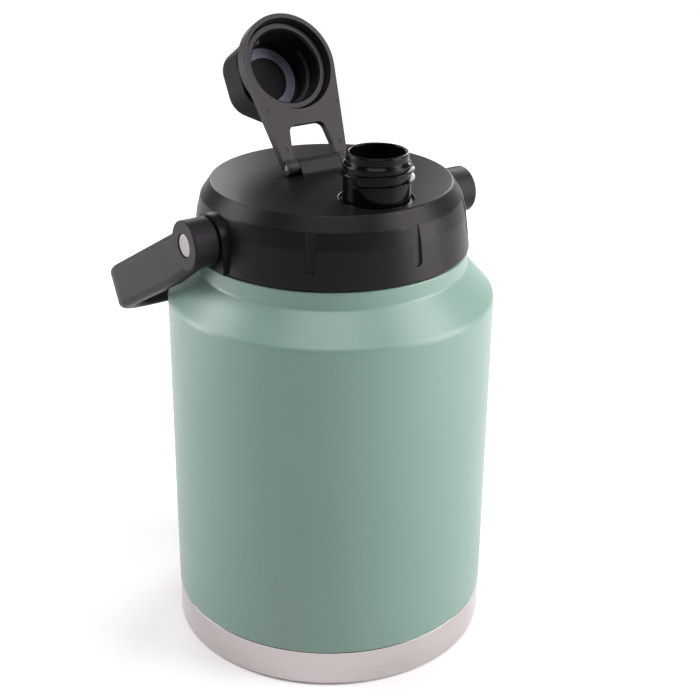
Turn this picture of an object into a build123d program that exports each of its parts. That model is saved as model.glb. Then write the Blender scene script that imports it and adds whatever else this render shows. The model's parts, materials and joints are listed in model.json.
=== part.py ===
"""Large insulated water jug: double-wall steel body, screw lid with a spout, flip cap and bail handle.

Millimetres, +Z up. The origin is the centre of the base, on the surface the jug stands on. The handle
turns about an axis along X, the spout is on the -Y side and the flip cap's hinge is on the +Y side.
"""
from build123d import *
import math
import os

os.makedirs("parts", exist_ok=True)

# ---- body ------------------------------------------------------------------------------------------
BODY_R = 82.5            # coated wall
BASE_R = 82.3            # bare steel base cup
BAND_TOP = 20.0          # top edge of the bare band
SHOULDER_Z = 186.0       # crease where the wall turns into the cone; everything above it follows
NECK_Z = SHOULDER_Z + 15.2          # foot of the neck
NECK_R = 68.4
STEP_Z = NECK_Z + 8.6    # top of the visible neck, just under the lid
FINISH_R = 60.6          # threaded finish inside the lid, root radius
MOUTH_Z = STEP_Z + 21.2  # top of the mouth lip
WALL = 0.8               # outer steel wall
LINER_WALL = 0.6
LIP = 0.8                # thickness of the liner's welded lip
LINER_R = 78.5
LINER_FLOOR = 12.0       # underside of the liner
LINER_SHOULDER = SHOULDER_Z - 2.5
LINER_NECK_R = 58.9
CUP_RECESS = 3.0         # height of the recessed middle of the base
DIMPLE_R = 7.0           # evacuation dimple
DIMPLE_H = 1.8
PORT_R = 1.2             # evacuation port

# ---- lid -------------------------------------------------------------------------------------------
LID_BOTTOM = STEP_Z + 0.7
LID_BOTTOM_R = 69.0
LID_TOP = LID_BOTTOM + 33.5
LID_RIM = [(66.6, LID_BOTTOM + 18.5), (64.7, LID_BOTTOM + 26.4), (59.8, LID_TOP)]   # outer profile above the edge
LID_WALL = 2.3
SKIRT_R = 63.9           # outside of the threaded liner's skirt
SKIRT_BOTTOM = LID_BOTTOM + 1.5
SKIRT_ROOT = 62.7        # root of the internal thread
CEILING_Z = MOUTH_Z + 2.2
CEILING_T = 2.0
GASKET_IN, GASKET_OUT = 57.6, 61.6
GROOVE_W, GROOVE_LEN, GROOVE_DEPTH = 4.7, 24.0, 1.3
GROOVE_Z = LID_BOTTOM + 19.0        # middle height of the six grip grooves
LID_LEAD = 12.0          # rise of the lid per turn, three starts
LID_THREAD_ANGLE = 140.0

# ---- handle ----------------------------------------------------------------------------------------
PIVOT_Z = LID_BOTTOM + 13.7
HANDLE_X = 83.0          # outer faces of the arms
HANDLE_DROOP = 29.1      # folded back, below the horizontal
HANDLE_REACH = 115.2     # pivot to the outside of the grip
HANDLE_CORNER = 27.4
ARM_T = 9.4
GRIP_T = 8.6
BAND_LOW, BAND_HIGH = -14.3, 8.8    # edges of the flat bar, across the arm
HANDLE_ROUND = 3.8
HUB_R = 12.0
BOSS_R = 13.2            # collar on the lid wall
BOSS_X = 69.6
PIVOT_R = 4.0            # shank of the pivot rivet
HEAD_R = 5.6
WASHER_T = 0.5

# ---- spout -----------------------------------------------------------------------------------------
SPOUT_Y = -38.2
SPOUT_TOP = LID_TOP + 22.6
SPOUT_RIM_R = 14.9
BORE_R = 13.1
TUBE_R = 16.2
SPOUT_HOLE_R = 18.0
FLANGE_R = 18.4
SPIGOT_R = 15.6          # lower end, in the lid liner's socket
CAP_PITCH = 5.0
SPOUT_THREAD_Z = LID_TOP + 8.0      # centre of the thread where it starts
SPOUT_THREAD_START = 164.0
SPOUT_THREAD_ANGLE = 540.0
THREAD_CREST = 17.9

# ---- flip cap --------------------------------------------------------------------------------------
HINGE_Y = 13.3
HINGE_Z = LID_TOP + 3.9
OPEN_ANGLE = 119.6       # from closed to the open stop
EYE_R = 3.6
EYE_OUT = 18.3           # outer ends of the strap's eyes
BLOCK_HALF = 11.8        # half length of the hinge block
PIN_R = 1.6
RING_R = 25.8
RING_BORE = 23.5
LEDGE_BORE = 20.4
STRAP_FACE = -0.45       # underside of the strap, from the hinge axis, when closed
WEB_T = 4.0
LEDGE_LOW, RING_TOP = 4.9, 6.1      # ledge's underside and ring's top, above the hinge axis
CAP_TRAVEL = 7.0         # screwed down to lifted clear
SOCKET_R = 20.0
SOCKET_BORE = 18.6
SOCKET_CREST = 16.9      # crest of the cap's internal thread
SOCKET_FLANGE_R = 23.0
SOCKET_LOW = LID_TOP + 0.5
SEAL_IN, SEAL_OUT = 11.7, 16.7
SEAL_T = 1.6
KNOB_FLAT = 21.6         # centre to each of the six flats
KNOB_CORNER = 12.0
KNOB_LOW = HINGE_Z + RING_TOP + 0.3
KNOB_TOP = LID_TOP + 27.9           # when screwed down

# ---- clearances ------------------------------------------------------------------------------------
FIT = 0.05               # radial running clearance of a pin in its hole
GAP = 0.1                # between pieces of one body
LOOSE = 0.3              # between faces that slide or swing past each other


# ---- helpers ---------------------------------------------------------------------------------------
def outline(points):
    """Closed outline; a point's third number rounds that corner."""
    face = make_face(Polyline(*[p[:2] for p in points], close=True)).face()
    for p in points:
        if len(p) > 2:
            corner = face.vertices().sort_by_distance((p[0], p[1], 0))[0]
            face = face.fillet_2d(p[2], [corner])
    return face


def turned(points, y=0.0):
    """Solid of revolution about the vertical axis through (0, y), from (radius, height) points."""
    return Pos(0, y, 0) * revolve(Plane.XZ * outline(points), Axis.Z)


def disc(radius, low, high, x=0.0, y=0.0):
    return Pos(x, y, (low + high) / 2) * Cylinder(radius, high - low)


def tube(outer, inner, low, high, x=0.0, y=0.0):
    return disc(outer, low, high, x, y) - disc(inner, low - 1, high + 1, x, y)


def rod_x(radius, x0, x1, y, z):
    return Pos((x0 + x1) / 2, y, z) * Rot(0, 90, 0) * Cylinder(radius, abs(x1 - x0))


def rib(root, crest, lead, z, start, angle, base=2.4, tip=1.2, y=0.0):
    """One helical thread rib, sunk into its wall; crest inside root makes an internal thread."""
    sink = 0.4 if crest > root else -0.4
    path = Helix(lead, lead * angle / 360, root)
    half, top = base / 2, tip / 2
    section = Plane.XZ * make_face(Polyline((root - sink, -half), (root, -half), (crest, -top),
                                            (crest, top), (root, half), (root - sink, half), close=True))
    return Pos(0, y, z) * Rot(0, 0, start) * sweep(section, path=path, is_frenet=True)


def swing(shape, angle):
    """Turn a flip cap piece from closed towards open about the hinge."""
    return Pos(0, HINGE_Y, HINGE_Z) * Rot(-angle, 0, 0) * Pos(0, -HINGE_Y, -HINGE_Z) * shape


def lifted(shape):
    """Unscrew a cap piece to the top of its travel, then swing it open."""
    turn = 360 * CAP_TRAVEL / CAP_PITCH
    risen = Pos(0, SPOUT_Y, CAP_TRAVEL) * Rot(0, 0, turn) * Pos(0, -SPOUT_Y, 0) * shape
    return swing(risen, OPEN_ANGLE)


nodes = {}

# ---- body: outer shell, base cup, liner and what seals the vacuum ---------------------------------
finish_in = FINISH_R - WALL
shell = turned([
    (BODY_R, BAND_TOP), (BODY_R, SHOULDER_Z, 5.0), (NECK_R, NECK_Z, 2.5), (NECK_R, STEP_Z, 0.9),
    (FINISH_R, STEP_Z, 0.5), (FINISH_R, MOUTH_Z - LIP), (finish_in, MOUTH_Z - LIP),
    (finish_in, STEP_Z - WALL), (NECK_R - WALL, STEP_Z - WALL), (NECK_R - WALL, NECK_Z - 0.4, 2.0),
    (BODY_R - WALL, SHOULDER_Z - 0.4, 4.2), (BODY_R - WALL, BAND_TOP)])
LID_THREAD_Z = MOUTH_Z - 11.5
for k in range(3):
    shell += rib(FINISH_R, FINISH_R + 1.6, LID_LEAD, LID_THREAD_Z, 120 * k, LID_THREAD_ANGLE)
nodes["outer_shell"] = shell

cup_in = BASE_R - WALL
nodes["base_cup"] = turned([
    (PORT_R, CUP_RECESS + DIMPLE_H), (DIMPLE_R - 1, CUP_RECESS + DIMPLE_H), (DIMPLE_R, CUP_RECESS),
    (66.0, CUP_RECESS), (70.0, 0.0, 1.5), (BASE_R, 0.0, 2.4), (BASE_R, BAND_TOP), (cup_in, BAND_TOP),
    (cup_in, WALL, 1.6), (70.4, WALL, 1.0), (66.4, CUP_RECESS + WALL), (DIMPLE_R + 0.6, CUP_RECESS + WALL),
    (DIMPLE_R - 0.4, CUP_RECESS + DIMPLE_H + WALL), (PORT_R, CUP_RECESS + DIMPLE_H + WALL)])
nodes["base_disc"] = turned([(0, CUP_RECESS - WALL), (64.0, CUP_RECESS - WALL, 0.3), (64.0, CUP_RECESS),
                             (0, CUP_RECESS)])
dimple_roof = CUP_RECESS + DIMPLE_H
nodes["vacuum_seal"] = (disc(4.5, CUP_RECESS + 0.4, dimple_roof)
                        + disc(PORT_R - GAP, dimple_roof, dimple_roof + 1.2))

liner_in = LINER_R - LINER_WALL
neck_in = LINER_NECK_R - LINER_WALL
slope = (NECK_Z - SHOULDER_Z) / (BODY_R - NECK_R)
neck_foot = LINER_SHOULDER + (LINER_R - LINER_NECK_R) * slope
nodes["inner_liner"] = turned([
    (0, LINER_FLOOR), (LINER_R, LINER_FLOOR, 9.0), (LINER_R, LINER_SHOULDER, 5.0),
    (LINER_NECK_R, neck_foot, 3.0), (LINER_NECK_R, MOUTH_Z - LIP), (FINISH_R + 0.2, MOUTH_Z - LIP),
    (FINISH_R + 0.2, MOUTH_Z, 0.35), (neck_in, MOUTH_Z, 0.35), (neck_in, neck_foot - 0.3, 3.0),
    (liner_in, LINER_SHOULDER - 0.3, 4.6), (liner_in, LINER_FLOOR + LINER_WALL, 8.4),
    (0, LINER_FLOOR + LINER_WALL)])
nodes["vacuum_getter"] = disc(6.0, LINER_FLOOR - 1.4, LINER_FLOOR, x=30.0)

# ---- lid: cover, threaded liner, foam and gasket ---------------------------------------------------
mid, slope_top, crease = LID_RIM
cover = turned([(0, LID_BOTTOM), (LID_BOTTOM_R, LID_BOTTOM, 0.7), (*mid, 18.0), (*slope_top, 3.0),
                (*crease, 1.0), (0, LID_TOP)])
for side in (-1, 1):
    cover += rod_x(BOSS_R, side * 50, side * BOSS_X, 0, PIVOT_Z)
    cover += Pos(side * (50 + BOSS_X) / 2, 0, (LID_BOTTOM + PIVOT_Z) / 2) * Box(
        BOSS_X - 50, 2 * BOSS_R, PIVOT_Z - LID_BOTTOM)
cover -= turned([
    (0, LID_BOTTOM - 1), (LID_BOTTOM_R - LID_WALL, LID_BOTTOM - 1), (LID_BOTTOM_R - LID_WALL, LID_BOTTOM),
    (mid[0] - LID_WALL, mid[1]), (slope_top[0] - LID_WALL, slope_top[1] - 0.7),
    (crease[0] - 1.6, LID_TOP - LID_WALL), (0, LID_TOP - LID_WALL)])
draft = math.degrees(math.atan2(LID_BOTTOM_R - mid[0], mid[1] - LID_BOTTOM))
groove_floor = mid[0] - GROOVE_DEPTH
groove_plane = Plane(origin=(groove_floor, 0, GROOVE_Z), x_dir=(0, 1, 0),
                     z_dir=(math.cos(math.radians(draft)), 0, math.sin(math.radians(draft))))
cutter = extrude(groove_plane * Rot(0, 0, 90) * SlotOverall(GROOVE_LEN, GROOVE_W), 8)
cutter = fillet(cutter.edges().sort_by(Axis(groove_plane.origin, groove_plane.z_dir))[:4], 1.0)
for azimuth in (48, 93, 138, 228, 273, 318):
    cover -= Rot(0, 0, azimuth) * cutter
cover -= disc(SPOUT_HOLE_R, LID_TOP - 5, LID_TOP + 1, y=SPOUT_Y)
cover = fillet(cover.edges().filter_by(GeomType.CIRCLE).sort_by_distance((0, SPOUT_Y - SPOUT_HOLE_R, LID_TOP))[0],
               0.5)
inner_wall = LID_BOTTOM_R - LID_WALL - (PIVOT_Z - LID_BOTTOM) * math.tan(math.radians(draft))
for side in (-1, 1):
    cover -= rod_x(PIVOT_R, side * 50, side * 80, 0, PIVOT_Z)
    cover -= rod_x(HEAD_R + GAP, side * 50, side * (inner_wall + 1.2), 0, PIVOT_Z)
screw_x = 7.0
for side in (-1, 1):
    cover -= disc(1.6, LID_TOP - 5, LID_TOP + 1, side * screw_x, HINGE_Y)
nodes["lid_cover"] = cover

ceiling_top = CEILING_Z + CEILING_T
flange_low = LID_TOP - LID_WALL - 2.7
inner = turned([
    (SKIRT_R, SKIRT_BOTTOM), (SKIRT_R, CEILING_Z - 5.2), (slope_top[0] - LID_WALL - 0.2, ceiling_top), (0, ceiling_top),
    (0, CEILING_Z), (GASKET_IN - GAP, CEILING_Z), (GASKET_IN - GAP, CEILING_Z + 0.8),
    (GASKET_OUT + GAP, CEILING_Z + 0.8), (GASKET_OUT + GAP, CEILING_Z), (SKIRT_ROOT, CEILING_Z),
    (SKIRT_ROOT, SKIRT_BOTTOM)])
socket_r = SPIGOT_R + 0.4
inner += disc(FLANGE_R + 0.2, ceiling_top, flange_low, y=SPOUT_Y)
inner -= disc(socket_r, CEILING_Z - 1, flange_low + 1, y=SPOUT_Y)
for k in range(3):
    inner += rib(SKIRT_ROOT, SKIRT_ROOT - 1.6, LID_LEAD, LID_THREAD_Z - LID_LEAD / 6 + 0.7, 120 * k + 21,
                 LID_THREAD_ANGLE)
nodes["lid_liner"] = inner

foam = disc(59.6, ceiling_top + GAP, flange_low - GAP) - disc(FLANGE_R + 0.5, CEILING_Z, LID_TOP, y=SPOUT_Y)
nodes["lid_foam"] = foam
nodes["lid_gasket"] = tube(GASKET_OUT, GASKET_IN, MOUTH_Z + 0.1, CEILING_Z + 0.7)

# ---- spout -----------------------------------------------------------------------------------------
ring_low, ring_high = CEILING_Z + 2.9, CEILING_Z + 4.5
spout = turned([
    (BORE_R, CEILING_Z), (SPIGOT_R, CEILING_Z, 0.4), (SPIGOT_R, ring_low), (SPIGOT_R - 1.0, ring_low),
    (SPIGOT_R - 1.0, ring_high), (SPIGOT_R, ring_high), (SPIGOT_R, flange_low), (FLANGE_R, flange_low),
    (FLANGE_R, LID_TOP - LID_WALL), (SPOUT_HOLE_R - 0.6, LID_TOP - LID_WALL),
    (SPOUT_HOLE_R - 0.6, LID_TOP - 0.9, 0.3), (TUBE_R, LID_TOP - 0.9), (TUBE_R, SPOUT_TOP - 5.4, 1.0),
    (SPOUT_RIM_R, SPOUT_TOP - 4.0, 1.0), (SPOUT_RIM_R, SPOUT_TOP, 0.8), (BORE_R, SPOUT_TOP, 0.6)], SPOUT_Y)
spout += rib(TUBE_R, THREAD_CREST, CAP_PITCH, SPOUT_THREAD_Z, SPOUT_THREAD_START, SPOUT_THREAD_ANGLE,
             2.0, 0.9, SPOUT_Y)
nodes["pour_spout"] = spout
oring_r = 0.68
nodes["spout_oring"] = Pos(0, SPOUT_Y, (ring_low + ring_high) / 2) * Torus(SPIGOT_R - 1.0 + oring_r + 0.02,
                                                                         oring_r)

# ---- flip cap hinge --------------------------------------------------------------------------------
block = extrude(Plane.YZ * make_face(Polyline(
    (HINGE_Y - 5.7, LID_TOP), (HINGE_Y + 5.7, LID_TOP), (HINGE_Y + 5.7, LID_TOP + 1.4),
    (HINGE_Y + 3.4, HINGE_Z + 1.0), (HINGE_Y - 3.4, HINGE_Z + 1.0), (HINGE_Y - 5.7, LID_TOP + 1.4),
    close=True)), BLOCK_HALF, both=True)
block += rod_x(EYE_R + 0.1, -BLOCK_HALF, BLOCK_HALF, HINGE_Y, HINGE_Z)
block -= rod_x(PIN_R, -20, 20, HINGE_Y, HINGE_Z)
for side in (-1, 1):
    block -= disc(1.4, LID_TOP - 1, LID_TOP + 2.0, side * screw_x, HINGE_Y)
nodes["hinge_block"] = block
nodes["hinge_pin"] = rod_x(PIN_R, -EYE_OUT + 0.3, EYE_OUT - 0.3, HINGE_Y, HINGE_Z)
head_top = LID_TOP - LID_WALL
nodes["hinge_screws"] = Compound([
    (disc(2.7, head_top - 1.5, head_top, side * screw_x, HINGE_Y)
     + disc(1.4, head_top, LID_TOP + 1.8, side * screw_x, HINGE_Y)).solid() for side in (-1, 1)])

# ---- flip cap strap: eyes, two arms and a ring, built closed and swung open ------------------------
reach = HINGE_Y - SPOUT_Y
web_low, web_high = HINGE_Z - STRAP_FACE - 0.9, HINGE_Z - STRAP_FACE - 0.9 + WEB_T
lean = math.asin((RING_R - EYE_OUT) / reach)
tangent = (RING_R * math.cos(lean), SPOUT_Y + RING_R * math.sin(lean))
plate = make_face(Polyline((-EYE_OUT, HINGE_Y), (-tangent[0], tangent[1]), (tangent[0], tangent[1]),
                           (EYE_OUT, HINGE_Y), close=True)) + Pos(0, SPOUT_Y) * Circle(RING_R)
window = outline([(-BLOCK_HALF - LOOSE, HINGE_Y + 6), (BLOCK_HALF + LOOSE, HINGE_Y + 6),
                  (BLOCK_HALF + LOOSE, HINGE_Y - 8), (BLOCK_HALF - 1.8, HINGE_Y - 20.4, 4.0),
                  (-BLOCK_HALF + 1.8, HINGE_Y - 20.4, 4.0), (-BLOCK_HALF - LOOSE, HINGE_Y - 8)])
strap = Pos(0, 0, web_low) * extrude(plate - window, WEB_T)
strap += disc(RING_R, web_low, HINGE_Z + RING_TOP, y=SPOUT_Y)
strap = fillet(strap.edges().group_by(Axis.Z)[-1], 0.8)
for side in (-1, 1):
    inner_end = side * (BLOCK_HALF + LOOSE)
    strap += rod_x(EYE_R, inner_end, side * EYE_OUT, HINGE_Y, HINGE_Z)
    # heel that rests on the lid when the cap is fully open
    heel = Pos((inner_end + side * EYE_OUT) / 2, HINGE_Y + 2.0, LID_TOP + 1.5) * Box(
        EYE_OUT - BLOCK_HALF - LOOSE, 4.0, 2.6)
    strap += swing(heel, -OPEN_ANGLE)
strap -= disc(RING_BORE, web_low - 1, HINGE_Z + LEDGE_LOW, y=SPOUT_Y)
strap -= disc(LEDGE_BORE, web_low - 1, HINGE_Z + RING_TOP + 1, y=SPOUT_Y)
strap -= rod_x(PIN_R + FIT, -20, 20, HINGE_Y, HINGE_Z)
for x, y in ((15.6, HINGE_Y - 8.5), (20.5, HINGE_Y - 29.0)):
    for side in (-1, 1):
        strap -= disc(1.3, web_low - 1, web_low + 0.25, side * x, y)
nodes["cap_strap"] = swing(strap, OPEN_ANGLE)

# ---- flip cap: threaded socket, grip knob and seal, built screwed down ----------------------------
seal_face = SPOUT_TOP + 0.1
socket_top = seal_face + SEAL_T + 1.3
socket = turned([
    (SOCKET_BORE + 0.9, SOCKET_LOW), (SOCKET_FLANGE_R - 1.1, SOCKET_LOW, 0.3), (SOCKET_FLANGE_R, SOCKET_LOW + 0.6),
    (SOCKET_FLANGE_R, SOCKET_LOW + 1.1), (SOCKET_R, SOCKET_LOW + 1.1), (SOCKET_R, socket_top), (0, socket_top),
    (0, seal_face + 1.6), (SEAL_IN - 2.2, seal_face + 0.3, 2.0), (SEAL_IN - GAP, seal_face + 0.3, 0.3),
    (SEAL_IN - GAP, seal_face + SEAL_T + GAP), (SEAL_OUT + GAP, seal_face + SEAL_T + GAP),
    (SEAL_OUT + GAP, seal_face + 0.6), (SOCKET_BORE, seal_face + 0.6), (SOCKET_BORE, SOCKET_LOW + 1.2)],
    SPOUT_Y)
SOCKET_THREAD_Z = SPOUT_THREAD_Z + 2.8
turn_to_start = 360 * (SOCKET_THREAD_Z + CAP_PITCH / 2 - SPOUT_THREAD_Z) / CAP_PITCH
socket += rib(SOCKET_BORE, SOCKET_CREST, CAP_PITCH, SOCKET_THREAD_Z, SPOUT_THREAD_START + turn_to_start, 290.0,
              2.0, 0.9, SPOUT_Y)
nodes["cap_socket"] = lifted(socket)

grip = fillet(RegularPolygon(KNOB_FLAT, 6, major_radius=False, rotation=6).vertices(), KNOB_CORNER)
knob = Pos(0, SPOUT_Y, KNOB_LOW) * extrude(grip, KNOB_TOP - KNOB_LOW)
knob = fillet(knob.edges().group_by(Axis.Z)[-1], 1.8)
knob = fillet(knob.edges().group_by(Axis.Z)[0], 0.6)
knob -= disc(SOCKET_R + GAP, KNOB_LOW - 1, socket_top + GAP, y=SPOUT_Y)
nodes["cap_knob"] = lifted(knob)
nodes["cap_seal"] = lifted(tube(SEAL_OUT, SEAL_IN, seal_face, seal_face + SEAL_T, y=SPOUT_Y))

# ---- handle: one bail, its two pivot rivets and their washers --------------------------------------
def bail_plan(half_width, reach_out, corner):
    return outline([(-half_width, -1.0), (-half_width, reach_out, corner), (half_width, reach_out, corner),
                    (half_width, -1.0)])


plan = Sketch() + bail_plan(HANDLE_X, HANDLE_REACH, HANDLE_CORNER)
plan -= bail_plan(HANDLE_X - ARM_T, HANDLE_REACH - GRIP_T, HANDLE_CORNER - GRIP_T)
side_view = Plane.YZ * make_face(Polyline(
    (0, -HUB_R), (26, BAND_LOW), (HANDLE_REACH + 1, BAND_LOW), (HANDLE_REACH + 1, BAND_HIGH),
    (0, BAND_HIGH), close=True))
bail = extrude(plan, 20, both=True) & extrude(side_view, HANDLE_X + 1, both=True)
bail = fillet(bail.edges().filter_by(lambda e: e.center().Y > 1.0), HANDLE_ROUND)
washer_gap = 0.6
for side in (-1, 1):
    hub = rod_x(HUB_R, side * (BOSS_X + washer_gap), side * HANDLE_X, 0, 0)
    hub = fillet(hub.edges().filter_by(GeomType.CIRCLE), 0.8)
    bail += hub
for side in (-1, 1):
    bail -= rod_x(PIVOT_R + FIT, side * 50, side * 90, 0, 0)
    bail -= rod_x(HEAD_R + LOOSE, side * (HANDLE_X - 2.3), side * 90, 0, 0)
nodes["bail_handle"] = Pos(0, 0, PIVOT_Z) * Rot(-HANDLE_DROOP, 0, 0) * bail

rivets, washers = [], []
for side in (-1, 1):
    rivet = rod_x(PIVOT_R, side * (inner_wall - 0.4), side * (HANDLE_X - 0.4), 0, PIVOT_Z)
    head = rod_x(HEAD_R, side * (HANDLE_X - 2.2), side * (HANDLE_X - 0.4), 0, PIVOT_Z)
    rivet += fillet(head.edges().filter_by(GeomType.CIRCLE), 0.3)
    rivet += rod_x(HEAD_R, side * (inner_wall - 0.4), side * (inner_wall + 1.1), 0, PIVOT_Z)
    rivets.append(rivet.solid())
    washer = rod_x(9.0, side * (BOSS_X + 0.05), side * (BOSS_X + 0.05 + WASHER_T), 0, PIVOT_Z)
    washers.append((washer - rod_x(PIVOT_R + GAP, side * 50, side * 90, 0, PIVOT_Z)).solid())
nodes["handle_rivets"] = Compound(rivets)
nodes["handle_washers"] = Compound(washers)

# ---- write one file per piece ----------------------------------------------------------------------
for name, shape in nodes.items():
    export_step(shape, f"parts/{name}.step")
    print(f"{name:16s} {shape.volume / 1000:9.2f} cm3")
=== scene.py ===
# %% [markdown]
# # A large insulated water jug
# The jug is a double-walled steel bottle with a powder coated wall, a bare brushed base, a moulded
# black lid with a screw spout, a flip cap and a bail handle. The engineering model comes in as a fixed
# frame: its solids stay where they are, and this lesson gives each one its finish and turns the round
# pieces again with finer edges.

# %% Load the frame
import json
import math

import bmesh
import bpy
from mathutils import Matrix, Vector


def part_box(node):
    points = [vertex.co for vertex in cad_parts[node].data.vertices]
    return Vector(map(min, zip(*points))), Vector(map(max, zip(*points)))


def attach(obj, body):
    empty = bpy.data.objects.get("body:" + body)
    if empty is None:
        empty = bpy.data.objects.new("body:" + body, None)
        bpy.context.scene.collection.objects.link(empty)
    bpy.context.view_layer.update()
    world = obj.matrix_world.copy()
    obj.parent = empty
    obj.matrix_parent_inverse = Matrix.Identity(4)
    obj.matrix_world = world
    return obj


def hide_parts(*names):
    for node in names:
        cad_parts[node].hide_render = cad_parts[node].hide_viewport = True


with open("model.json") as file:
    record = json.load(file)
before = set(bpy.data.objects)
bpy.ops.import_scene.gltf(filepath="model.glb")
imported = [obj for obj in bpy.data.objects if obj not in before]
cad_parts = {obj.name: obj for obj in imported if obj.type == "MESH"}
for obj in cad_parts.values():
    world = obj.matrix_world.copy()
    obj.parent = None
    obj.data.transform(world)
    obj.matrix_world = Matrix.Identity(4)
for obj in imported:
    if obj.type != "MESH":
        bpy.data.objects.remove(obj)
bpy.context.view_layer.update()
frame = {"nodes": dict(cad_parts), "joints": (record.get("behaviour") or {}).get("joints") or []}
solids = frame["nodes"]
joints = {j["name"]: j for j in frame["joints"]}
MM = 0.001

# %% [markdown]
# ## Camera
# A camera is an object whose own -Z axis is its line of sight. Its matrix has the right, up and back
# directions as columns, so a known viewpoint can be written straight into the matrix. A 72 mm lens
# from 0.8 m away keeps the perspective gentle, as product pictures do.

# %% Camera
eye = Vector((-0.36811717, -0.55242841, 0.44875269))
sight = Vector((0.51723251, 0.75145356, -0.40961944)).normalized()
right = Vector((0.82637709, -0.56301708, 0.01061451)).normalized()
up = right.cross(sight)
lens = bpy.data.cameras.new("camera")
lens.lens, lens.sensor_width = 72.04, 36.0
camera = bpy.data.objects.new("camera", lens)
bpy.context.scene.collection.objects.link(camera)
camera.matrix_world = Matrix((
    (right.x, up.x, -sight.x, eye.x),
    (right.y, up.y, -sight.y, eye.y),
    (right.z, up.z, -sight.z, eye.z),
    (0, 0, 0, 1)))
bpy.context.scene.camera = camera
bpy.context.scene.view_settings.view_transform = "Standard"
camera_azimuth = math.degrees(math.atan2(eye.x, -eye.y))
print("camera azimuth", round(camera_azimuth, 1), "elevation",
      round(math.degrees(math.asin(-sight.z)), 1))

# %% [markdown]
# ## Studio
# A satin cylinder shows its shape by the lights at its two sides: a tall soft box on each side leaves
# a darker band down the middle that faces the viewer. One more hangs above, and two small ones behind
# put a sheen on the lid's flat top. All stand round the jug in angles counted from the camera, so the
# set-up is easy to read and to change. The floor is a very
# large sheet whose far edges turn up, so a low view never sees past it.

# %% Floor and lights
JUG_MIDDLE, LID_HEIGHT = 0.13, 0.24
BOX_TINT = (1.0, 0.965, 0.995)


def soft_box(name, round_by, elevation, distance, width, height, watts, aim=JUG_MIDDLE):
    """Area light placed by its angle from the camera and turned to look at the jug's axis."""
    a = math.radians(camera_azimuth + round_by)
    e = math.radians(elevation)
    middle = Vector((0, 0, aim))
    way = Vector((math.sin(a) * math.cos(e), -math.cos(a) * math.cos(e), math.sin(e)))
    data = bpy.data.lights.new(name, "AREA")
    data.shape, data.size, data.size_y, data.energy = "RECTANGLE", width, height, watts
    data.color = BOX_TINT
    lamp = bpy.data.objects.new(name, data)
    bpy.context.scene.collection.objects.link(lamp)
    lamp.location = middle + way * distance
    lamp.rotation_euler = way.to_track_quat("Z", "Y").to_euler()
    lamp.visible_camera = False
    return lamp


soft_box("box_right", 79, 22, 1.15, 0.75, 1.3, 20.5)
soft_box("box_left", -97, 20, 1.15, 0.5, 1.2, 12.5)
soft_box("box_top", -4, 72, 1.3, 0.9, 0.9, 10.5)
soft_box("box_back_right", 152, 24, 0.85, 0.45, 0.45, 5.2, LID_HEIGHT)
soft_box("box_back_left", -160, 24, 0.85, 0.35, 0.45, 2.2, LID_HEIGHT)

world = bpy.data.worlds.new("pale_room")
world.use_nodes = True
world.node_tree.nodes["Background"].inputs["Color"].default_value = (1.0, 1.0, 1.0, 1)
world.node_tree.nodes["Background"].inputs["Strength"].default_value = 0.10
bpy.context.scene.world = world

half, upturn = 40.0, 1.2
ground = [(-half, -half, 0), (half, -half, 0), (half, half, 0), (-half, half, 0)]
raised = [(x, y, upturn) for x, y, z in ground]
floor_mesh = bpy.data.meshes.new("studio_floor")
edges_up = [(k, k + 4, (k + 1) % 4 + 4, (k + 1) % 4) for k in range(4)]
floor_mesh.from_pydata(ground + raised, [], [(0, 1, 2, 3)] + edges_up)
floor = bpy.data.objects.new("studio_floor", floor_mesh)
bpy.context.scene.collection.objects.link(floor)
print("studio: floor", 2 * half, "m wide,", len(bpy.data.lights), "soft boxes")

# %% [markdown]
# ## Writing node trees as sums
# A node tree is a diagram of a calculation. The small class below wraps one output of a node, so that
# `0.4 + 0.1 * grain` adds the two Math nodes by itself. Every other node comes from one method that
# takes the node's type, its settings and what goes into its sockets. It works for shader trees and
# for geometry trees alike.

# %% Wires and nets
class Wire:
    """One output of a node, which takes part in sums like a number."""

    def __init__(self, net, socket):
        self.net, self.socket = net, socket

    def sum(self, operation, first, second=0.0, third=0.0):
        return self.net.node("ShaderNodeMath", {"operation": operation}, {0: first, 1: second, 2: third})

    def __add__(self, other):
        return self.sum("ADD", self, other)

    __radd__ = __add__

    def __sub__(self, other):
        return self.sum("SUBTRACT", self, other)

    def __rsub__(self, other):
        return self.sum("SUBTRACT", other, self)

    def __mul__(self, other):
        return self.sum("MULTIPLY", self, other)

    __rmul__ = __mul__

    def __truediv__(self, other):
        return self.sum("DIVIDE", self, other)

    def between(self, low, high):
        """0 at low, 1 at high and a smooth step from one to the other."""
        return self.net.node("ShaderNodeMapRange", {"interpolation_type": "SMOOTHSTEP"},
                             {"Value": self, "From Min": low, "From Max": high})

    def out(self, name):
        return Wire(self.net, self.net.find(self.socket.node.outputs, name))


class Net:
    """A node tree with one method for adding a node."""

    def __init__(self, tree):
        self.tree = tree

    @staticmethod
    def find(sockets, key):
        if isinstance(key, int):
            return sockets[key]
        for s in sockets:
            if s.identifier == key:
                return s
        return next(s for s in sockets if s.name == key)

    def node(self, kind, settings=None, values=None, out=0):
        made = self.tree.nodes.new(kind)
        for key, value in (settings or {}).items():
            if key == "stops":
                ramp = made.color_ramp
                while len(ramp.elements) < len(value):
                    ramp.elements.new(0.5)
                for element, (place, colour) in zip(ramp.elements, value):
                    element.position, element.color = place, (*colour, 1)
            else:
                setattr(made, key, value)
        for key, value in (values or {}).items():
            socket = self.find(made.inputs, key)
            for one in value if isinstance(value, list) else [value]:
                if isinstance(one, Wire):
                    self.tree.links.new(one.socket, socket)
                else:
                    socket.default_value = one
        return Wire(self, self.find(made.outputs, out)) if made.outputs else made


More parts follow.
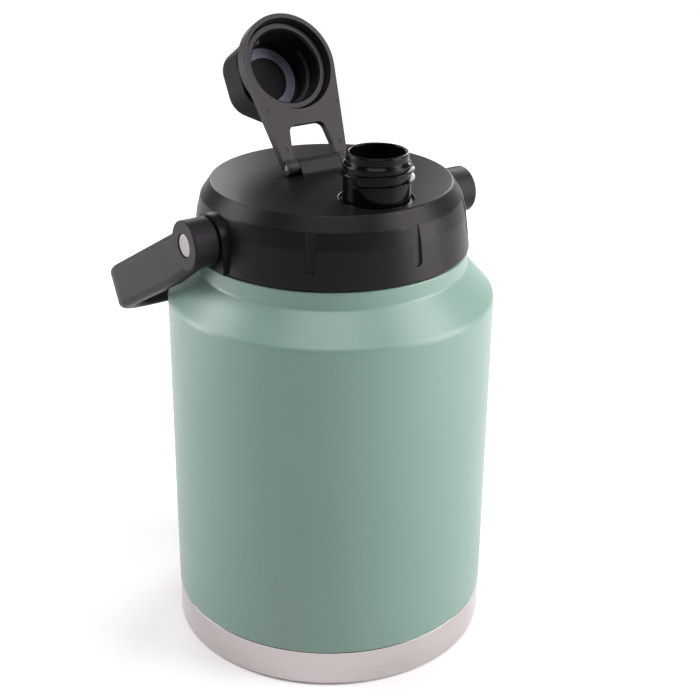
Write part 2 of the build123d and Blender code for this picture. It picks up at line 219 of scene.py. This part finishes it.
# %% [markdown]
# ## Helpers for finishes
# Every finish reads Object coordinates, in metres, so a grain of 1 mm is the same size on each piece
# and the pattern rides with it. Noise gives grain and cloudiness, a Mix node blends two colours, and a
# Bump node turns a height into shading. Values that are the same all over go on the shader itself.

# %% Finish helpers
finishes = {}


def finish_net(name):
    material = bpy.data.materials.new(name)
    material.use_nodes = True
    material.node_tree.nodes.clear()
    finishes[name] = material
    return Net(material.node_tree)


def spot(net, scale=(1, 1, 1), move=(0, 0, 0)):
    """Object coordinates, stretched and moved."""
    here = net.node("ShaderNodeTexCoord", {}, {}, "Object")
    return net.node("ShaderNodeMapping", {"vector_type": "POINT"},
                    {"Vector": here, "Location": move, "Scale": scale})


def noise(net, where, scale, detail=2.0, roughness=0.5):
    return net.node("ShaderNodeTexNoise", {"noise_dimensions": "3D"},
                    {"Vector": where, "Scale": scale, "Detail": detail, "Roughness": roughness})


def blend(net, share, first, second):
    return net.node("ShaderNodeMix", {"data_type": "RGBA"},
                    {"Factor_Float": share, "A_Color": (*first, 1) if isinstance(first, tuple) else first,
                     "B_Color": (*second, 1) if isinstance(second, tuple) else second}, "Result_Color")


def bump(net, height, strength, distance):
    return net.node("ShaderNodeBump", {},
                    {"Strength": strength, "Distance": distance, "Height": height}, "Normal")


def surface(net, **sockets):
    shader = net.node("ShaderNodeBsdfPrincipled", {}, {k.replace("_", " "): v for k, v in sockets.items()})
    net.node("ShaderNodeOutputMaterial", {}, {"Surface": shader})


print("finish helpers ready")

# %% [markdown]
# ### Studio floor
# The floor is pale paper. It carries a faint mottling and a very soft tooth, and it glows by itself as
# painted light, dim next to the jug and growing with the distance from it: the paper stays bright far
# away, where the soft boxes don't reach, without throwing too much light up at the black lid.

# %% Floor finish
net = finish_net("studio_paper")
here = spot(net)
mottle = noise(net, here, 3.0, 3.0)
distance = net.node("ShaderNodeVectorMath", {"operation": "LENGTH"}, {0: here}, "Value")
# painted light: the floor's own emission, dim near the jug and bright far out
painted_floor_glow = blend(net, distance.between(0.25, 1.5), (0.10, 0.10, 0.10), (0.85, 0.85, 0.85))
surface(net, Base_Color=blend(net, mottle, (0.70, 0.70, 0.70), (0.73, 0.73, 0.73)),
        Roughness=0.7 + 0.1 * mottle, Normal=bump(net, noise(net, here, 900.0), 0.1, 0.0002),
        Emission_Color=painted_floor_glow, Emission_Strength=1.0, Specular_IOR_Level=0.2)
floor_mesh.materials.append(finishes["studio_paper"])

# %% [markdown]
# ### Powder coat
# The wall is sprayed with sage powder and baked. Melted powder levels into a skin with a faint orange
# peel a few millimetres across and a finer grain on top. The colour drifts very slightly where the
# layer is thicker, and rubbing leaves the lower edge a shade paler and smoother.

# %% Sage powder coat
net = finish_net("sage_powder_coat")
here = spot(net)
peel = noise(net, here, 260.0, 2.0)
grain = noise(net, here, 1500.0, 3.0, 0.6)
cloud = noise(net, here, 14.0, 3.0)
height = net.node("ShaderNodeSeparateXYZ", {}, {"Vector": here}, "Z")
rub = (1 - height.between(0.020, 0.026)) * noise(net, here, 420.0, 4.0, 0.7).between(0.52, 0.68)
layer = blend(net, cloud, (0.121, 0.218, 0.170), (0.138, 0.236, 0.187))
speckled = blend(net, grain.between(0.35, 0.75) * 0.35, layer, (0.160, 0.261, 0.211))
worn = blend(net, rub * 0.35, speckled, (0.270, 0.350, 0.310))
surface(net, Base_Color=worn, Roughness=0.40 + 0.10 * peel + 0.05 * grain - 0.05 * rub,
        Normal=bump(net, 0.6 * peel + 0.4 * grain, 0.22, 0.00012),
        Specular_IOR_Level=0.5, Coat_Weight=0.42, Coat_Roughness=0.3)
print("powder coat: peel", round(1000 / 260, 1), "mm, grain", round(1000 / 1500, 2), "mm")

# %% [markdown]
# ### Brushed steel
# The base is polished with a belt while it turns, so its scratches run round the jug. A noise that is
# stretched thin along Z and long round the axis gives them without any seam. Stretching works because
# X and Y change slowly along a scratch and Z changes fast across it. Fine scratches smear a reflection
# across themselves, so the shader's highlight is turned a quarter and stretched upright.

# %% Brushed, liner and rivet steel
UPRIGHT = 0.25


def brushed(name, light, dark, rough, streak, depth, across=(40, 40, 7000), anisotropic=0.65):
    net = finish_net(name)
    fine = noise(net, spot(net, across), 1.0, 3.0, 0.6)
    broad = noise(net, spot(net, tuple(v * 0.22 for v in across)), 1.0, 2.0, 0.5)
    smear = noise(net, spot(net), 60.0, 3.0, 0.6)
    lines = 0.6 * fine + 0.4 * broad
    surface(net, Base_Color=blend(net, lines, dark, light), Metallic=1.0,
            Roughness=rough + streak * lines + 0.05 * smear,
            Normal=bump(net, lines, depth, 0.00006), Anisotropic=anisotropic,
            Anisotropic_Rotation=UPRIGHT)


brushed("brushed_steel", (0.60, 0.55, 0.54), (0.43, 0.392, 0.385), 0.13, 0.12, 0.22)
brushed("liner_steel", (0.64, 0.63, 0.62), (0.54, 0.53, 0.52), 0.22, 0.12, 0.10)
brushed("turned_base", (0.62, 0.58, 0.57), (0.50, 0.47, 0.46), 0.28, 0.16, 0.18, (900, 900, 60), 0.0)
brushed("rivet_steel", (0.29, 0.268, 0.262), (0.245, 0.228, 0.223), 0.42, 0.12, 0.10, (60, 2500, 2500), 0.0)
print("steel finishes:", [n for n in finishes if "steel" in n or "turned" in n])

# %% [markdown]
# ### Moulded black plastic
# The lid cover, strap, knob and handle are moulded from polypropylene in a spark-eroded mould, which
# leaves an even matt grain well under a millimetre. Light hits the grain's tops first, so the finish
# is a soft grey sheen rather than a mirror. A slow drift in roughness shows where the plastic flowed,
# and fine dry rub marks catch a little light. The cap's socket is satin on its flange and blasted dull
# inside, so its roughness rises within a radius of the cap's own axis: the length of a cross product
# with a unit axis is the distance from that axis.

# %% Moulded blacks
MOULD_TINT = (1.0, 0.94, 0.99, 1)
DULL_WITHIN, DULL_PAST, DULLER_BY = 0.0165, 0.0185, 0.32


def moulded(name, dark, pale, rough, drift, grain_size, depth, level=0.5, blasted=None):
    """Black plastic; blasted is the joint round whose axis the surface is duller."""
    net = finish_net(name)
    here = spot(net)
    grain = noise(net, here, 1 / grain_size, 3.0, 0.6)
    flow = noise(net, here, 35.0, 3.0, 0.55)
    marks = noise(net, spot(net, (1, 1, 6)), 520.0, 5.0, 0.75).between(0.63, 0.76)
    colour = blend(net, 0.7 * flow + 0.3 * grain, dark, pale)
    rubbed = blend(net, marks * 0.25, colour, tuple(v * 2.2 + 0.006 for v in pale))
    even = rough + drift * flow + 0.06 * grain
    if blasted:
        hub, axis = tuple(blasted["pos_m"]), tuple(blasted["axis"])
        from_hub = net.node("ShaderNodeVectorMath", {"operation": "SUBTRACT"}, {0: here, 1: hub})
        across = net.node("ShaderNodeVectorMath", {"operation": "CROSS_PRODUCT"}, {0: from_hub, 1: axis})
        away = net.node("ShaderNodeVectorMath", {"operation": "LENGTH"}, {0: across}, "Value")
        even = even + DULLER_BY * (1 - away.between(DULL_WITHIN, DULL_PAST))
    surface(net, Base_Color=rubbed, Roughness=even,
            Normal=bump(net, grain, depth, 0.00006), Specular_IOR_Level=level,
            Specular_Tint=MOULD_TINT)


moulded("matt_black", (0.0062, 0.0058, 0.0060), (0.0108, 0.0100, 0.0104), 0.40, 0.08, 0.00045, 0.35, 0.18)
# The strap's copy of the matt black is painted about twice as light: painted light on its underside, not a
# different plastic.
moulded("strap_black_painted_light", (0.0120, 0.0112, 0.0118), (0.0200, 0.0187, 0.0196), 0.42, 0.08, 0.00045, 0.35, 0.26)
moulded("lid_black", (0.0038, 0.0036, 0.0038), (0.0075, 0.0071, 0.0075), 0.28, 0.07, 0.00040, 0.26, 0.16)
moulded("knob_black", (0.0032, 0.0030, 0.0032), (0.0060, 0.0057, 0.0060), 0.46, 0.08, 0.00045, 0.35, 0.10)
moulded("gloss_black", (0.0018, 0.0018, 0.0019), (0.0034, 0.0034, 0.0036), 0.10, 0.05, 0.0012, 0.04, 0.11)
moulded("satin_black", (0.0040, 0.0038, 0.0040), (0.0070, 0.0067, 0.0070), 0.28, 0.08, 0.0010, 0.08, 0.2,
        joints["cap_turn"])
moulded("liner_black", (0.0150, 0.0150, 0.0155), (0.0220, 0.0220, 0.0225), 0.34, 0.08, 0.00060, 0.15)
print("blacks:", [n for n in finishes if "black" in n])

# %% [markdown]
# ### Rubber, foam and small parts
# The cap's seal is a blue-grey silicone washer with a dusty skin, the lid's gasket is paler silicone,
# and the foam, nylon, resin and getter are inside the jug. They show when pieces are lifted apart, so
# each still has its own grain.

# %% Soft and inner finishes
def soft(name, dark, pale, rough, grain_size, depth, metal=0.0):
    net = finish_net(name)
    here = spot(net)
    grain = noise(net, here, 1 / grain_size, 4.0, 0.6)
    dust = noise(net, here, 90.0, 3.0, 0.6)
    surface(net, Base_Color=blend(net, 0.5 * grain + 0.5 * dust, dark, pale), Metallic=metal,
            Roughness=rough + 0.12 * dust, Normal=bump(net, grain, depth, 0.00015))


soft("seal_silicone", (0.130, 0.134, 0.180), (0.185, 0.190, 0.250), 0.46, 0.0007, 0.12)
soft("gasket_silicone", (0.42, 0.42, 0.41), (0.52, 0.52, 0.50), 0.48, 0.0008, 0.12)
soft("white_foam", (0.62, 0.61, 0.58), (0.80, 0.79, 0.76), 0.85, 0.0011, 0.80)
soft("nylon_washer", (0.030, 0.030, 0.030), (0.050, 0.050, 0.050), 0.38, 0.0005, 0.10)
soft("sealing_resin", (0.34, 0.31, 0.26), (0.45, 0.42, 0.36), 0.30, 0.0020, 0.20)
soft("getter_metal", (0.45, 0.44, 0.42), (0.58, 0.57, 0.55), 0.48, 0.0006, 0.30, 1.0)

# %% [markdown]
# ## Finishes on the frame's own solids
# A solid whose shape is right keeps its mesh and only gets a finish, by putting a material in its
# slot. The dictionary says which finish goes on which piece of the jug.

# %% Give each solid its finish
worn_by = {
    "outer_shell": "sage_powder_coat", "base_cup": "brushed_steel", "base_disc": "turned_base",
    "vacuum_seal": "sealing_resin", "inner_liner": "liner_steel", "vacuum_getter": "getter_metal",
    "lid_cover": "lid_black", "lid_liner": "liner_black", "lid_foam": "white_foam",
    "lid_gasket": "gasket_silicone", "pour_spout": "gloss_black", "spout_oring": "gasket_silicone",
    "hinge_block": "matt_black", "hinge_pin": "rivet_steel", "hinge_screws": "rivet_steel",
    "cap_strap": "strap_black_painted_light", "cap_socket": "satin_black", "cap_knob": "knob_black",
    "cap_seal": "seal_silicone", "bail_handle": "matt_black", "handle_rivets": "rivet_steel",
    "handle_washers": "nylon_washer"}
for name, solid in solids.items():
    for place in solid.material_slots:
        place.material = finishes[worn_by[name]]
print("finished", len(solids), "solids")

# %% [markdown]
# ## Turning with Geometry Nodes
# A turned piece follows one rule: its profile, carried once round the axis. The tree makes a flat grid
# with one column per step of the turn and one row per profile point, looks up each row's point in the
# profile, and turns it by its column's angle. The last column lands on the first, so a merge closes
# the seam. A second helper turns a modifier's result into a plain mesh.

# %% Profile and lathe
def profile(corners, fine=9, near=0.35):
    """Line in metres from (radius, height, rounding) corners in mm, with rows close to each arc. It closes on
    itself unless it starts and ends on the axis."""
    points = []
    count = len(corners)
    for i, corner in enumerate(corners):
        p = Vector(corner[:2])
        before = (Vector(corners[i - 1][:2]) - p).normalized()
        after = (Vector(corners[(i + 1) % count][:2]) - p).normalized()
        size = corner[2] if len(corner) > 2 else 0.0
        if not size:
            points.append([p])
            continue
        opening = before.angle(after)
        reach = size / math.tan(opening / 2)
        centre = p + (before + after).normalized() * size / math.sin(opening / 2)
        first, last = p + before * reach - centre, p + after * reach - centre
        swing = first.angle_signed(last)
        arc = []
        for k in range(fine + 1):
            a = -swing * k / fine
            arc.append(centre + Vector((first.x * math.cos(a) - first.y * math.sin(a),
                                        first.x * math.sin(a) + first.y * math.cos(a))))
        points.append(arc)
    on_axis = corners[0][0] == 0 and corners[-1][0] == 0
    line = []
    for i, arc in enumerate(points):
        start = points[i - 1][-1]
        run = arc[0] - start
        if run.length > 4 * near and not (on_axis and i == 0):
            line += [start + run.normalized() * near, arc[0] - run.normalized() * near]
        line += arc
    if not on_axis:
        line.append(line[0])
    return [(x * MM, 0.0, z * MM) for x, z in line]


def new_tree(name, inputs):
    tree = bpy.data.node_groups.new(name, "GeometryNodeTree")
    tree.interface.new_socket("Geometry", in_out="INPUT", socket_type="NodeSocketGeometry")
    for label, (kind, value) in inputs.items():
        socket = tree.interface.new_socket(label, in_out="INPUT", socket_type="NodeSocket" + kind)
        if value is not None:
            socket.default_value = value
    tree.interface.new_socket("Geometry", in_out="OUTPUT", socket_type="NodeSocketGeometry")
    return tree


def end_tree(net, shape, coat):
    painted = net.node("GeometryNodeSetMaterial", {}, {"Geometry": shape, "Material": coat})
    real = net.node("GeometryNodeRealizeInstances", {}, {"Geometry": painted})
    net.node("NodeGroupOutput", {}, {"Geometry": real})


lathe = new_tree("turn_on_lathe", {
    "Steps": ("Int", 192), "Axis y": ("Float", 0.0), "Finish": ("Material", None)})
net = Net(lathe)
given = net.node("NodeGroupInput")
rows = net.node("GeometryNodeAttributeDomainSize", {"component": "MESH"}, {"Geometry": given}, "Point Count")
grid = net.node("GeometryNodeMeshGrid", {}, {"Vertices X": given.out("Steps") + 1, "Vertices Y": rows})
index = net.node("GeometryNodeInputIndex")
column = ((index + 0.5) / rows).sum("FLOOR", (index + 0.5) / rows)
row = index - column * rows
point = net.node("GeometryNodeSampleIndex", {"data_type": "FLOAT_VECTOR", "domain": "POINT"},
                 {"Geometry": given, "Value": net.node("GeometryNodeInputPosition"), "Index": row})
carried = net.node("ShaderNodeVectorRotate", {"rotation_type": "Z_AXIS"},
                   {"Vector": point, "Angle": column / given.out("Steps") * (2 * math.pi)})
shift = net.node("ShaderNodeCombineXYZ", {}, {"Y": given.out("Axis y")})
moved = net.node("ShaderNodeVectorMath", {"operation": "ADD"}, {0: carried, 1: shift})
laid = net.node("GeometryNodeSetPosition", {}, {"Geometry": grid, "Position": moved})
sewn = net.node("GeometryNodeMergeByDistance", {}, {"Geometry": laid, "Distance": 2e-6})
end_tree(net, sewn, given.out("Finish"))
print("lathe tree:", len(lathe.nodes), "nodes")


# %% [markdown]
# ## From tree to plain mesh
# A modifier's inputs are set by the identifiers of its sockets before the object is first evaluated.
# The evaluated result is then copied into a mesh of its own, its normals are checked by the sign of
# its volume, and edges sharper than 30 degrees stay crisp.

# %% Run a tree and keep its result
def run_tree(name, tree, values, points=(), edges=(), faces=()):
    base = bpy.data.meshes.new(name + "_line")
    base.from_pydata([tuple(p) for p in points], list(edges), list(faces))
    work = bpy.data.objects.new(name + "_work", base)
    bpy.context.scene.collection.objects.link(work)
    modifier = work.modifiers.new("tree", "NODES")
    modifier.node_group = tree
    for item in tree.interface.items_tree:
        if item.in_out == "INPUT" and item.name in values:
            modifier[item.identifier] = values[item.name]
    view = bpy.context.evaluated_depsgraph_get()
    mesh = bpy.data.meshes.new_from_object(work.evaluated_get(view))
    mesh.name = name
    bpy.data.objects.remove(work)
    bpy.data.meshes.remove(base)
    return mesh


def settle(mesh, crisp=30.0):
    """Faces outwards, crisp corners kept, and the mesh's size printed."""
    shape = bmesh.new()
    shape.from_mesh(mesh)
    for face in shape.faces:
        face.material_index = 0
    if shape.calc_volume(signed=True) < 0:
        bmesh.ops.reverse_faces(shape, faces=shape.faces)
    open_edges = sum(not e.is_manifold for e in shape.edges)
    volume = shape.calc_volume()
    shape.to_mesh(mesh)
    shape.free()
    coat = next(m for m in mesh.materials if m)
    mesh.materials.clear()
    mesh.materials.append(coat)
    mesh.shade_smooth()
    mesh.set_sharp_from_angle(angle=math.radians(crisp))
    print(f"{mesh.name}: {len(mesh.polygons)} faces, {volume * 1e6:.2f} cm3, {open_edges} open edges")
    return mesh


def stand_in(mesh, body, replaced):
    """Make the mesh a piece that rides on a body in place of the named solids."""
    piece = bpy.data.objects.new(mesh.name, mesh)
    bpy.context.scene.collection.objects.link(piece)
    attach(piece, body)
    if replaced:
        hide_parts(*replaced)
    return piece


def turned(name, corners, coat, y=0.0, steps=192):
    line = profile(corners)
    chain = [(i, i + 1) for i in range(len(line) - 1)]
    return run_tree(name, lathe, {"Steps": steps, "Axis y": y, "Finish": finishes[coat]}, line, chain)


# %% [markdown]
# ## Coated wall
# The outer wall is one profile: a straight side, a soft crease at the shoulder, a shallow cone and a
# short neck that the lid comes down over. The coat ends in a thin rounded lip above the bare base, and
# the small undercut behind that lip is what draws the fine dark line between the two metals.

# %% Turn the coated wall
coat_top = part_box("lid_cover")[0].z / MM - 0.7
wall_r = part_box("outer_shell")[1].x / MM
coat_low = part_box("outer_shell")[0].z / MM
wall = turned("coated_wall", [
    (wall_r, coat_low + 0.12, 0.28), (wall_r, 186.0, 5.0), (68.4, 201.2, 2.5), (68.4, coat_top, 0.9),
    (60.7, coat_top, 0.3), (59.8, coat_top - 0.8, 0.2), (67.6, coat_top - 0.8, 0.3), (67.6, 200.8, 2.0),
    (wall_r - 0.8, 185.6, 4.2), (wall_r - 0.8, coat_low + 0.12, 0.1)], "sage_powder_coat")
stand_in(settle(wall), "body", ["outer_shell"])

# %% [markdown]
# ## Bare steel base
# The base cup is pressed from sheet, welded to the wall and left bare. Its outside rolls under into
# the ring that the jug stands on. The top edge is eased, which leaves the shadow gap under the coat.

# %% Turn the base
base_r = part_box("base_cup")[1].x / MM
base = turned("bare_base", [
    (1.2, 4.8), (6.0, 4.8, 0.4), (7.0, 3.0, 0.4), (66.0, 3.0, 1.0), (70.0, 0.0, 1.5), (base_r, 0.0, 2.4),
    (base_r, coat_low - 0.32, 0.14), (base_r - 0.45, coat_low - 0.22), (base_r - 0.45, coat_low),
    (base_r - 0.8, coat_low), (base_r - 0.8, 0.8, 1.6), (70.4, 0.8, 1.0), (66.4, 3.8, 0.6), (7.6, 3.8, 0.4),
    (6.6, 5.6, 0.4), (1.2, 5.6)], "brushed_steel")
stand_in(settle(base), "body", ["base_cup"])

# %% [markdown]
# ## Helical thread ribs
# A screw thread is a short section carried along a helix. The tree takes a spiral curve, runs a
# trapezoid along it, shrinks it at both ends so the thread fades into its wall as a moulded one does,
# and repeats it for a thread with several starts. The spiral is reversed, because a right-handed screw
# climbs as it turns anticlockwise seen from above. The same tree serves the neck and the spout.

# %% Thread tree
thread = new_tree("thread_ribs", {
    "Root": ("Float", 0.06), "Height": ("Float", 0.0016), "Sink": ("Float", 0.0004),
    "Base width": ("Float", 0.0024), "Tip width": ("Float", 0.0012), "Turns": ("Float", 0.4),
    "Rise": ("Float", 0.0047), "Starts": ("Int", 3), "First angle": ("Float", 0.0),
    "Fade": ("Float", 20.0), "Place": ("Vector", None), "Finish": ("Material", None)})
net = Net(thread)
given = net.node("NodeGroupInput")
tall = given.out("Height") + given.out("Sink")
helix = net.node("GeometryNodeCurveSpiral", {}, {
    "Resolution": 96, "Rotations": given.out("Turns"), "Start Radius": given.out("Root"),
    "End Radius": given.out("Root"), "Height": given.out("Rise"), "Reverse": True})
upright = net.node("GeometryNodeSetCurveNormal", {"mode": "Z_UP"}, {"Curve": helix})
section = net.node("GeometryNodeCurvePrimitiveQuadrilateral", {"mode": "TRAPEZOID"}, {
    "Bottom Width": given.out("Base width"), "Top Width": given.out("Tip width"), "Offset": 0.0,
    "Height": tall})
eased = net.node("GeometryNodeFilletCurve", {"mode": "POLY"}, {"Curve": section, "Count": 3, "Radius": 0.00022,
                                                             "Limit Radius": True})
out_by = net.node("ShaderNodeCombineXYZ", {}, {"X": tall * 0.5 - given.out("Sink")})
stood = net.node("GeometryNodeTransform", {}, {"Geometry": eased, "Translation": out_by,
                                               "Rotation": (0, 0, -math.pi / 2)})
along = net.node("GeometryNodeSplineParameter")
nearest = along.sum("MINIMUM", along, 1 - along) * given.out("Fade")
shrink = net.node("ShaderNodeMapRange", {"interpolation_type": "SMOOTHSTEP"}, {
    "Value": nearest, "From Min": 0.0, "From Max": 1.0, "To Min": 0.12, "To Max": 1.0})
ribbed = net.node("GeometryNodeCurveToMesh", {}, {"Curve": upright, "Profile Curve": stood, "Scale": shrink,
                                                 "Fill Caps": True})
points = net.node("GeometryNodeMeshLine", {}, {"Count": given.out("Starts"), "Offset": (0.0, 0.0, 0.0)})
angle = net.node("GeometryNodeInputIndex") / given.out("Starts") * (2 * math.pi) + given.out("First angle")
turn = net.node("FunctionNodeAxisAngleToRotation", {}, {"Axis": (0, 0, 1), "Angle": angle})
repeated = net.node("GeometryNodeInstanceOnPoints", {}, {
    "Points": points, "Instance": ribbed, "Rotation": turn})
placed = net.node("GeometryNodeTransform", {}, {"Geometry": repeated, "Translation": given.out("Place")})
end_tree(net, placed, given.out("Finish"))
print("thread tree:", len(thread.nodes), "nodes")

# %% [markdown]
# ## Threaded neck
# Inside the lid the neck is bare steel, drawn narrower and rolled with three thread starts. The lid
# climbs 12 mm in one turn on them, so it comes off quickly. Wall and ribs are joined in one piece.

# %% Turn the neck and lay its threads
def joined(name, meshes):
    """One mesh from several, kept closed piece by piece."""
    shape = bmesh.new()
    for mesh in meshes:
        shape.from_mesh(mesh)
    whole = bpy.data.meshes.new(name)
    shape.to_mesh(whole)
    shape.free()
    whole.materials.append(meshes[0].materials[0])
    for face in whole.polygons:
        face.material_index = 0
    for mesh in meshes:
        bpy.data.meshes.remove(mesh)
    return whole


neck_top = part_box("outer_shell")[1].z / MM
finish_r, lid_lead, lid_arc = 60.6, 12.0, 140 / 360
neck_wall = turned("neck_wall", [
    (finish_r, coat_top - 0.3), (finish_r, neck_top, 0.15), (59.8, neck_top, 0.15), (59.8, coat_top - 0.3)],
    "liner_steel")
neck_ribs = run_tree("neck_ribs", thread, {
    "Root": finish_r * MM, "Height": 1.6 * MM, "Turns": lid_arc, "Rise": lid_lead * lid_arc * MM,
    "Starts": 3, "Fade": 14.0, "Place": (0.0, 0.0, 219.5 * MM), "Finish": finishes["liner_steel"]})
corners = [v.co for v in neck_ribs.vertices]
print("neck ribs reach", round(max(math.hypot(c.x, c.y) for c in corners) / MM, 2), "mm from the axis, z",
      round(min(c.z for c in corners) / MM, 2), "to", round(max(c.z for c in corners) / MM, 2))
neck = joined("threaded_neck", [settle(neck_wall), settle(neck_ribs)])
stand_in(settle(neck), "body", ["outer_shell"])

# %% [markdown]
# ## Spout
# The spout is one glossy moulding: a tube with a smooth drinking rim, a thread for the cap and a
# collar that fills the hole in the lid with a narrow gap all round. Its polished mould leaves a deep
# black in which the soft boxes stand as clear upright bars.

# %% Turn the spout and lay its thread
low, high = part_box("pour_spout")
spout_y = (low.y + high.y) / 2
top = high.z / MM
lid_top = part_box("lid_cover")[1].z / MM
foot = low.z / MM
tube_r, cap_pitch, cap_turns = 16.2, 5.0, 1.5
tube = turned("spout_tube", [
    (13.1, foot, 0.3), (15.6, foot, 0.4), (15.6, foot + 2.9), (14.6, foot + 2.9), (14.6, foot + 4.5),
    (15.6, foot + 4.5), (15.6, lid_top - 5.0), (18.4, lid_top - 5.0), (18.4, lid_top - 2.3),
    (17.4, lid_top - 2.3), (17.4, lid_top - 0.9, 0.3), (tube_r, lid_top - 0.9, 0.3), (tube_r, top - 5.4, 1.0),
    (14.9, top - 4.0, 1.0), (14.9, top, 0.8), (13.1, top, 0.6)], "gloss_black", spout_y, 144)
screw = run_tree("spout_rib", thread, {
    "Root": tube_r * MM, "Height": 1.7 * MM, "Base width": 2.0 * MM, "Tip width": 0.9 * MM,
    "Turns": cap_turns, "Rise": cap_pitch * cap_turns * MM, "Starts": 1,
    "First angle": math.radians(164.0), "Fade": 16.0,
    "Place": (0.0, spout_y, (lid_top + 8.0) * MM), "Finish": finishes["gloss_black"]})
spout = joined("screw_spout", [settle(tube), settle(screw)])
stand_in(settle(spout), "lid", ["pour_spout"])

# %% [markdown]
# ## Pivot rivets
# Two steel rivets carry the handle. Each is one turned shape with a low crown on its head, so one
# profile is turned once and a second tree sets it out at both ends of the pivot axis, pointing
# outwards.

# %% Turn a rivet and set out the pair
pair = new_tree("set_out_pair", {"Place": ("Vector", None), "Finish": ("Material", None)})
net = Net(pair)
given = net.node("NodeGroupInput")
points = net.node("GeometryNodeMeshLine", {}, {"Count": 2, "Offset": (0.0, 0.0, 0.0)})
tilt = net.node("ShaderNodeCombineXYZ", {}, {"Y": (net.node("GeometryNodeInputIndex") * 2 - 1) * (math.pi / 2)})
turn = net.node("FunctionNodeEulerToRotation", {}, {"Euler": tilt})
both = net.node("GeometryNodeInstanceOnPoints", {}, {"Points": points, "Instance": given, "Rotation": turn})
placed = net.node("GeometryNodeTransform", {}, {"Geometry": both, "Translation": given.out("Place")})
end_tree(net, placed, given.out("Finish"))

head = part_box("handle_rivets")[1].x / MM
pivot = joints["handle_swing"]["pos_m"]
one = settle(turned("rivet", [
    (0.0, 64.52), (5.6, 64.52, 0.3), (5.6, 66.0), (4.0, 66.0), (4.0, head - 1.8), (5.6, head - 1.8, 0.2),
    (5.6, head - 0.16, 0.35), (3.4, head - 0.04, 4.0), (0.0, head)], "rivet_steel", 0.0, 72))
faces = [tuple(p.vertices) for p in one.polygons]
spots = [tuple(v.co) for v in one.vertices]
rivets = run_tree("pivot_rivets", pair, {"Place": tuple(pivot), "Finish": finishes["rivet_steel"]},
                  spots, (), faces)
stand_in(settle(rivets), "lid", ["handle_rivets"])
